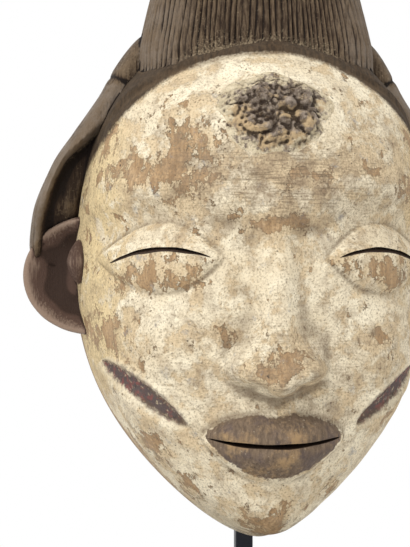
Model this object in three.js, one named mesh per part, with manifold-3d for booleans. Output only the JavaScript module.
// A white-faced wooden mask with slit eyes, a ribbed coiffure and side tresses, on a black steel stand.
// Millimetres, +Z up. The face looks along -Y. The origin is the middle of the foot plate's underside.
import * as THREE from "three";
import { mergeVertices } from "three/addons/utils/BufferGeometryUtils.js";
import Module from "manifold-3d";

// Driving sizes of the carved head, measured from the tip of the chin and from the flat back.
const faceHeight = 215;
const faceWidth = 160;
const headDepth = 92;
const crownRise = 20;
const frontWall = 12;
const rimWall = 9;
const chinWall = 16;
const bandHalfHeight = 3.2;
const scarWidth = 44;
const scarHeight = 32;
const scarRise = 4;
const scarLumps = 9;

// Driving sizes of the hair and the ears.
const lobeWidth = 104;
const lobeDepth = 62;
const lobeRise = 86;
const lobeTaper = 0.22;
const lobeRibs = 38;
const ribDepth = 1.6;
const tressReach = 21;
const tressThickness = 20;
const tressDepth = 38;
const earHeight = 52;
const earReach = 23;
const earThickness = 11;
const earDish = 7;
const earTurn = THREE.MathUtils.degToRad(24);
const lugReach = 9;

// Driving sizes of the slits, which go right through the wall.
const eyeSlitLength = 40;
const eyeSlitGap = 2;
const mouthSlitLength = 55;
const mouthSlitGap = 2.4;

// Driving sizes of the stand.
const plateWidth = 130;
const plateDepth = 130;
const plateThickness = 8;
const rodSide = 8;
const chinClearance = 55;
const restGap = 0.3;
const rodTipGap = 0.75;

// How finely the faceted surfaces are cut.
const headRings = 28;
const headSpokes = 72;
const hollowRings = 14;
const hollowSpokes = 44;
const touchRing = 8;
const rodSteps = 18;

// Levels and places on the face, as shares of its own height and width.
const centreLevel = 0.6 * faceHeight;
const browLevel = (2 / 3) * faceHeight;
const eyeLevel = (7 / 12) * faceHeight;
const noseBase = (1 / 3) * faceHeight;
const mouthLevel = (2 / 9) * faceHeight;
const eyeOffset = 0.29 * faceWidth;
const lidHalfWidth = 0.15 * faceWidth;
const lidHalfHeight = 0.068 * faceHeight;
const mouthHalfWidth = 0.18 * faceWidth;
const scarLevel = 0.857 * faceHeight;
const earLevel = 0.54 * faceHeight;

// The places where the pieces of the stand and the mask meet.
const plateTop = plateThickness;
const chinHeight = plateTop + chinClearance;
const backPlane = 35;
const rodMiddle = backPlane + restGap + rodSide / 2;

const wasm = await Module();
wasm.setup();

const clamp01 = (v) => Math.min(1, Math.max(0, v));

function smooth(low, high, v) {
  const t = clamp01((v - low) / (high - low));
  return t * t * (3 - 2 * t);
}

const mound = (u, v) => Math.exp(-u * u - v * v);

const signedPower = (v, power) => Math.sign(v) * Math.abs(v) ** power;

// A closed solid from a pole, rings of equally many points, and a second pole.
function closedSkin(rings, firstPole, lastPole) {
  const spokes = rings[0].length;
  const points = [firstPole, ...rings.flat(), lastPole];
  const faces = [];
  const at = (ring, spoke) => 1 + ring * spokes + (spoke % spokes);
  for (let spoke = 0; spoke < spokes; spoke += 1) {
    faces.push(0, at(0, spoke + 1), at(0, spoke));
    faces.push(points.length - 1, at(rings.length - 1, spoke), at(rings.length - 1, spoke + 1));
    for (let ring = 0; ring < rings.length - 1; ring += 1) {
      faces.push(at(ring, spoke), at(ring, spoke + 1), at(ring + 1, spoke));
      faces.push(at(ring, spoke + 1), at(ring + 1, spoke + 1), at(ring + 1, spoke));
    }
  }
  const geometry = new THREE.BufferGeometry();
  geometry.setAttribute("position", new THREE.Float32BufferAttribute(points.flatMap((p) => p.toArray()), 3));
  geometry.setIndex(faces);
  return geometry;
}

// A closed mesh as a solid that can be joined and cut, turned outside out if its faces point inwards.
function solidFrom(geometry) {
  const bare = new THREE.BufferGeometry();
  bare.setAttribute("position", geometry.getAttribute("position").clone());
  bare.setIndex(geometry.index);
  const merged = mergeVertices(bare, 1e-4);
  const corners = new Uint32Array(merged.index.array);
  const make = () =>
    new wasm.Manifold(
      new wasm.Mesh({
        numProp: 3,
        vertProperties: new Float32Array(merged.getAttribute("position").array),
        triVerts: corners,
      }),
    );
  const solid = make();
  if (solid.volume() > 0) return solid;
  for (let i = 0; i < corners.length; i += 3) {
    [corners[i + 1], corners[i + 2]] = [corners[i + 2], corners[i + 1]];
  }
  return make();
}

function geometryFrom(solid) {
  const mesh = solid.getMesh();
  const geometry = new THREE.BufferGeometry();
  geometry.setAttribute("position", new THREE.BufferAttribute(mesh.vertProperties, 3));
  geometry.setIndex(new THREE.BufferAttribute(mesh.triVerts, 1));
  geometry.computeVertexNormals();
  return geometry;
}

// The head in the front view: how far its edge lies from the centre of the face in one direction.
function headRadius(angle) {
  const across = Math.abs(Math.cos(angle)) / (faceWidth / 2);
  const rise = Math.sin(angle);
  const reach = rise > 0 ? faceHeight + crownRise - centreLevel : centreLevel;
  const power = rise > 0 ? 2.15 : 2.05 - 0.45 * Math.abs(rise) ** 3;
  return (across ** power + (Math.abs(rise) / reach) ** power) ** (-1 / power);
}

// How square the dome is in section: rounder over the forehead, fuller above the chin.
const headFullness = (angle) => 2.3 + 1.5 * Math.max(0, -Math.sin(angle)) ** 2;

// The point of the smooth dome under the carving that shows at one place of the front view.
function domeAt(x, z) {
  const angle = Math.atan2(z - centreLevel, x);
  const power = headFullness(angle);
  const share = Math.min(Math.hypot(x, z - centreLevel) / headRadius(angle), 1);
  return new THREE.Vector3(x, -headDepth * (1 - share ** power) ** (1 / power), z);
}

function domeNormalAt(x, z) {
  const step = 0.05;
  const inwards = 0.995;
  const middle = new THREE.Vector2(x, z - centreLevel).multiplyScalar(inwards);
  const at = (dx, dz) => domeAt(middle.x + dx, middle.y + dz + centreLevel).y;
  const slopeX = (at(step, 0) - at(-step, 0)) / (2 * step);
  const slopeZ = (at(0, step) - at(0, -step)) / (2 * step);
  return new THREE.Vector3(slopeX, -1, slopeZ).normalize();
}

function lidRelief(side, z) {
  const lidLevel = eyeLevel - 0.03 * faceHeight;
  const apart = ((side - eyeOffset) / lidHalfWidth) ** 2 + ((z - lidLevel) / lidHalfHeight) ** 2;
  return 5.5 * Math.max(0, 1 - apart) ** 0.7;
}

function noseRelief(side, z) {
  const root = browLevel - 0.03 * faceHeight;
  const down = (root - z) / (root - noseBase);
  const width = 6.5 + 3 * clamp01(down) + 6 * smooth(0.6, 0.95, down);
  const height = 3 + 11 * clamp01(down) ** 1.3;
  const ridge = height * Math.exp(-((side / width) ** 2.6));
  const wings = 5 * mound((side - 13) / 7, (z - noseBase - 8) / 7);
  const under = smooth(noseBase - 6, noseBase + 3, z);
  return (ridge * smooth(-0.35, 0.15, down) + wings) * under;
}

function lipRelief(side, z) {
  const span = side / mouthHalfWidth;
  if (span >= 1) return 0;
  const fall = 1 - span * span;
  const line = mouthLevel + 3 * span * span;
  const upper = 13 * fall ** 0.7 - 2 * Math.exp(-((side / 5) ** 2));
  const lower = 15 * fall ** 0.9;
  const share = z > line ? (z - line) / upper : (line - z) / lower;
  return 7 * fall ** 0.4 * Math.cos((clamp01(share) * Math.PI) / 2) ** 0.8;
}

// The shallow lens-shaped bands that run from beside the mouth towards the ears.
function bandRelief(side, z) {
  const from = new THREE.Vector2(mouthHalfWidth + 6, mouthLevel + 0.03 * faceHeight);
  const to = new THREE.Vector2(0.43 * faceWidth, mouthLevel + 0.15 * faceHeight);
  const along = to.clone().sub(from);
  const length = along.length();
  along.normalize();
  const share = ((side - from.x) * along.x + (z - from.y) * along.y) / length;
  const off = (z - from.y) * along.x - (side - from.x) * along.y;
  const lens = 1 - (2 * share - 1) ** 2;
  return lens > 0 ? -1.8 * smooth(1.2, 0.7, Math.abs(off) / (bandHalfHeight * Math.sqrt(lens))) : 0;
}

// How far the carving stands out of the dome, or sinks into it.
function faceRelief(x, z) {
  const side = Math.abs(x);
  const browHere = browLevel + 4 * mound((side - eyeOffset) / 26, 0);
  const forehead = 4.5 * smooth(browHere - 8, browHere + 12, z) * (1 - smooth(0.86, 1.02, z / faceHeight));
  const socket = -4 * mound((side - eyeOffset) / 24, (z - eyeLevel - 3) / 15);
  const muzzle = 5 * mound(side / 32, (z - mouthLevel) / 26);
  const cheek = 2.5 * mound((side - 46) / 20, (z - noseBase - 12) / 18);
  const chin = 4 * mound(side / 18, (z - 0.07 * faceHeight) / 12);
  const carving = lidRelief(side, z) + noseRelief(side, z) + lipRelief(side, z) + bandRelief(side, z);
  return forehead + socket + muzzle + cheek + chin + carving;
}

// The rings of the face spread from the tip of the nose, so that the small forms there get the small faces.
function buildHead() {
  const noseTip = noseBase + 6;
  const rings = [];
  for (let ring = 1; ring <= headRings; ring += 1) {
    const turn = ((ring / headRings) ** 1.12 * Math.PI) / 2;
    const spread = Math.sin(turn) ** 0.95;
    const points = [];
    for (let spoke = 0; spoke < headSpokes; spoke += 1) {
      const angle = (spoke / headSpokes) * 2 * Math.PI + Math.PI / 2;
      const edge = headRadius(angle);
      const x = edge * Math.cos(angle) * spread;
      const z = noseTip + (centreLevel + edge * Math.sin(angle) - noseTip) * spread;
      const fade = 1 - smooth(0.88, 0.99, spread);
      const seat = ring === headRings ? new THREE.Vector3(x, 0, z) : domeAt(x, z);
      points.push(seat.addScaledVector(domeNormalAt(x, z), faceRelief(x, z) * fade));
    }
    rings.push(points);
  }
  const front = domeAt(0, noseTip);
  front.addScaledVector(domeNormalAt(0, noseTip), faceRelief(0, noseTip));
  return solidFrom(closedSkin(rings, front, new THREE.Vector3(0, 0, centreLevel)));
}

// The hollow behind the face. It runs a little past the flat back so that it cuts clean.
function hollowRadius(angle) {
  return headRadius(angle) - rimWall - (chinWall - rimWall) * Math.max(0, -Math.sin(angle)) ** 3;
}

const hollowDepth = headDepth - frontWall;
const hollowPower = 2.6;

function buildHollow() {
  const overrun = 5;
  const rings = [];
  const ringAt = (outwardShare, y) =>
    Array.from({ length: hollowSpokes }, (_, spoke) => {
      const angle = (spoke / hollowSpokes) * 2 * Math.PI + Math.PI / 2;
      const outward = outwardShare * hollowRadius(angle);
      return new THREE.Vector3(outward * Math.cos(angle), y, centreLevel + outward * Math.sin(angle));
    });
  for (let ring = 1; ring <= hollowRings; ring += 1) {
    const turn = ((ring / hollowRings) * Math.PI) / 2;
    const deep = ring === hollowRings ? 0 : Math.cos(turn) ** (2 / hollowPower);
    rings.push(ringAt(Math.sin(turn) ** (2 / hollowPower), -hollowDepth * deep));
  }
  rings.push(ringAt(1, overrun));
  const front = new THREE.Vector3(0, -hollowDepth, centreLevel);
  return solidFrom(closedSkin(rings, front, new THREE.Vector3(0, overrun, centreLevel)));
}

// The tall ribbed lobe of hair on the crown: rings of a rounded plan that taper and close at the top.
function buildLobe() {
  const rings = [];
  const levels = 10;
  const spokes = lobeRibs * 2;
  const foot = faceHeight - 40;
  const top = faceHeight + lobeRise;
  for (let level = 0; level < levels; level += 1) {
    const share = 1 - (1 - level / levels) ** 1.9;
    const z = foot + (top - foot) * share;
    const close = (1 - share ** 6) ** (1 / 2);
    const halfWidth = (lobeWidth / 2 - lobeTaper * Math.max(0, z - faceHeight)) * close;
    const halfDepth = (lobeDepth / 2 - 0.06 * (z - faceHeight)) * close;
    const middle = -lobeDepth / 2 - 2 + 0.04 * (z - faceHeight);
    const ribbed = smooth(faceHeight + 2, faceHeight + 16, z);
    const points = [];
    for (let spoke = 0; spoke < spokes; spoke += 1) {
      const angle = (spoke / spokes) * 2 * Math.PI;
      const sink = 1 - (spoke % 2 ? (ribDepth * ribbed * close) / halfDepth : 0);
      const across = halfWidth * sink * signedPower(Math.cos(angle), 0.85);
      const deep = halfDepth * sink * signedPower(Math.sin(angle), 0.85);
      points.push(new THREE.Vector3(across, middle + deep, z));
    }
    rings.push(points);
  }
  const middleFoot = new THREE.Vector3(0, -lobeDepth / 2, foot);
  return solidFrom(closedSkin(rings, middleFoot, new THREE.Vector3(0, -lobeDepth / 2 + 2, top)));
}

// The outer edge of a side tress in the front view, from beside the lobe down to the ear.
function tressEdge() {
  const out = faceWidth / 2 + tressReach;
  return new THREE.CatmullRomCurve3(
    [
      [0.5, 1.048],
      [0.62, 0.962],
      [0.69, 0.905],
      [0.79, 0.838],
      [0.89, 0.766],
      [0.97, 0.685],
      [1, 0.571],
    ].map(([across, up]) => new THREE.Vector3(out * across, 0, faceHeight * up)),
  );
}

function buildTress(side) {
  const line = tressEdge();
  const lengths = 11;
  const spokes = 12;
  const rings = [];
  const middleAt = (share) => {
    const tangent = line.getTangentAt(share);
    const inward = new THREE.Vector3(tangent.z, 0, -tangent.x);
    const half = (tressThickness / 2) * (0.75 + 0.4 * share);
    return { inward, half, middle: line.getPointAt(share).addScaledVector(inward, half) };
  };
  for (let step = 0; step <= lengths; step += 1) {
    const share = step / lengths;
    const { inward, half, middle } = middleAt(share);
    const close = (1 - Math.abs(2 * share - 1) ** 14 * 0.6) ** 0.5;
    const points = [];
    for (let spoke = 0; spoke < spokes; spoke += 1) {
      const angle = (spoke / spokes) * 2 * Math.PI;
      const out = half * close * signedPower(Math.cos(angle), 0.75);
      const back = (tressDepth / 2) * (close * signedPower(Math.sin(angle), 0.75) - 1);
      points.push(new THREE.Vector3(side * (middle.x - inward.x * out), back, middle.z - inward.z * out));
    }
    rings.push(points);
  }
  const poleAt = (share) => {
    const { middle } = middleAt(share);
    return new THREE.Vector3(side * middle.x, -tressDepth / 2, middle.z);
  };
  return solidFrom(closedSkin(rings, poleAt(0), poleAt(1)));
}

// A dished ear, open to the front and turned a little outwards, with a small pointed lug beside the face.
function buildEar(side) {
  const spokes = 18;
  const rings = [];
  const halfHeight = earHeight / 2;
  const inner = new THREE.Vector3(faceWidth / 2 - 6, -31, earLevel);
  const reach = (earReach + 6) / Math.cos(earTurn);
  const place = (out, up, front) =>
    new THREE.Vector3(
      side * (inner.x + out * Math.cos(earTurn) + front * Math.sin(earTurn)),
      inner.y + out * Math.sin(earTurn) - front * Math.cos(earTurn),
      inner.z + up,
    );
  const ringAt = (share, front) =>
    Array.from({ length: spokes }, (_, spoke) => {
      const angle = (spoke / spokes) * 2 * Math.PI;
      return place(reach * share * Math.cos(angle), halfHeight * share * Math.sin(angle), front);
    });
  for (const share of [0.3, 0.6, 0.76, 0.86, 0.94]) {
    rings.push(ringAt(share, -earDish * (1 - smooth(0.55, 0.9, share))));
  }
  for (const share of [1, 0.92, 0.7, 0.4]) {
    rings.push(ringAt(share, -2 - (earThickness - 2) * (1 - share * share) ** 0.6));
  }
  const body = solidFrom(closedSkin(rings, place(0, 0, -earDish), place(0, 0, -earThickness)));
  const lug = new THREE.OctahedronGeometry(1);
  lug.scale(lugReach, lugReach, earHeight / 4);
  lug.translate(side * (faceWidth / 2 - 4), inner.y - 8, inner.z - 2);
  return body.add(solidFrom(lug));
}

// The worn raised scar on the forehead: a low boss with uneven lumps spiralling out from its middle.
function buildScar() {
  const goldenAngle = Math.PI * (3 - Math.sqrt(5));
  const forward = new THREE.Vector3(0, -1, 0);
  const seatOn = (geometry, x, z, sink) => {
    const normal = domeNormalAt(x, z);
    const seat = domeAt(x, z).addScaledVector(normal, faceRelief(x, z) - sink);
    geometry.applyQuaternion(new THREE.Quaternion().setFromUnitVectors(forward, normal));
    geometry.translate(seat.x, seat.y, seat.z);
    return solidFrom(geometry);
  };
  const boss = new THREE.SphereGeometry(1, 16, 8);
  boss.scale(scarWidth / 2, scarRise * 1.5, scarHeight / 2);
  let scar = seatOn(boss, 0, scarLevel, scarRise);
  for (let lump = 0; lump < scarLumps; lump += 1) {
    const out = Math.sqrt((lump + 0.3) / scarLumps) * 0.8;
    const x = (out * scarWidth * Math.cos(lump * goldenAngle)) / 2;
    const z = scarLevel + (out * scarHeight * Math.sin(lump * goldenAngle)) / 2;
    const size = 4.6 + 0.5 * ((lump * 3) % 5);
    scar = scar.add(seatOn(new THREE.IcosahedronGeometry(size, 1), x, z, size - scarRise));
  }
  return scar;
}

// A curved slit with pointed ends, cut from front to back. The bow lifts its middle, or drops it if negative.
function slitCutter(middleX, level, length, gap, bow) {
  const shape = new THREE.Shape();
  const half = length / 2;
  shape.moveTo(-half, -bow / 2);
  shape.quadraticCurveTo(0, bow * 1.5 + gap, half, -bow / 2);
  shape.quadraticCurveTo(0, bow * 1.5 - gap, -half, -bow / 2);
  const bar = new THREE.ExtrudeGeometry(shape, { depth: headDepth, bevelEnabled: false, curveSegments: 8 });
  bar.rotateX(Math.PI / 2);
  bar.translate(middleX, -headDepth / 3, level);
  return solidFrom(bar);
}

function buildMask() {
  const sides = [-1, 1];
  let block = buildHead().add(buildLobe()).add(buildScar());
  for (const side of sides) {
    block = block.add(buildTress(side)).add(buildEar(side));
  }
  block = block.subtract(buildHollow());
  for (const side of sides) {
    block = block.subtract(slitCutter(side * eyeOffset, eyeLevel, eyeSlitLength, eyeSlitGap, 4));
  }
  return block.subtract(slitCutter(0, mouthLevel + 1, mouthSlitLength, mouthSlitGap, -3));
}

// The rod's line: straight up behind the rim of the jaw, which leans on it, then forward and up to meet the
// ceiling of the hollow squarely.
function rodLine() {
  const touchTurn = ((touchRing / hollowRings) * Math.PI) / 2;
  const up = Math.sin(touchTurn) ** (2 / hollowPower) * hollowRadius(Math.PI / 2);
  const deep = Math.cos(touchTurn) ** (2 / hollowPower) * hollowDepth;
  const nearby = touchTurn + 0.01;
  const slope = new THREE.Vector3(
    0,
    (deep - Math.cos(nearby) ** (2 / hollowPower) * hollowDepth) / 0.01,
    (Math.sin(nearby) ** (2 / hollowPower) * hollowRadius(Math.PI / 2) - up) / 0.01,
  ).normalize();
  const normal = new THREE.Vector3(0, -slope.z, slope.y);
  const touch = new THREE.Vector3(0, backPlane - deep, chinHeight + centreLevel + up);
  const end = touch.addScaledVector(normal, -rodTipGap);
  const knee = new THREE.Vector3(0, rodMiddle, chinHeight + centreLevel);
  const foot = new THREE.Vector3(0, rodMiddle, plateTop + restGap);
  const line = new THREE.CurvePath();
  line.add(new THREE.LineCurve3(foot, knee));
  const rise = (end.z - knee.z) * 0.5;
  line.add(
    new THREE.CubicBezierCurve3(
      knee,
      knee.clone().setZ(knee.z + rise),
      end.clone().addScaledVector(normal, -rise),
      end,
    ),
  );
  return line;
}

function buildRod() {
  const half = rodSide / 2;
  const section = new THREE.Shape([
    new THREE.Vector2(-half, -half),
    new THREE.Vector2(half, -half),
    new THREE.Vector2(half, half),
    new THREE.Vector2(-half, half),
  ]);
  return new THREE.ExtrudeGeometry(section, { steps: rodSteps, extrudePath: rodLine(), bevelEnabled: false });
}

const carvedWood = new THREE.MeshStandardMaterial({ color: 0xd6c8a8, roughness: 0.85, metalness: 0 });
const blackSteel = new THREE.MeshStandardMaterial({ color: 0x171a22, roughness: 0.45, metalness: 0.6 });

const mask = new THREE.Mesh(geometryFrom(buildMask()), carvedWood);
mask.name = "mask";
mask.position.set(0, backPlane, chinHeight);

const plate = new THREE.Mesh(new THREE.BoxGeometry(plateWidth, plateDepth, plateThickness), blackSteel);
plate.name = "stand_plate";
plate.position.set(0, 0, plateThickness / 2);

const rod = new THREE.Mesh(buildRod(), blackSteel);
rod.name = "stand_rod";

const part = new THREE.Group();
part.add(mask, plate, rod);

export default part;
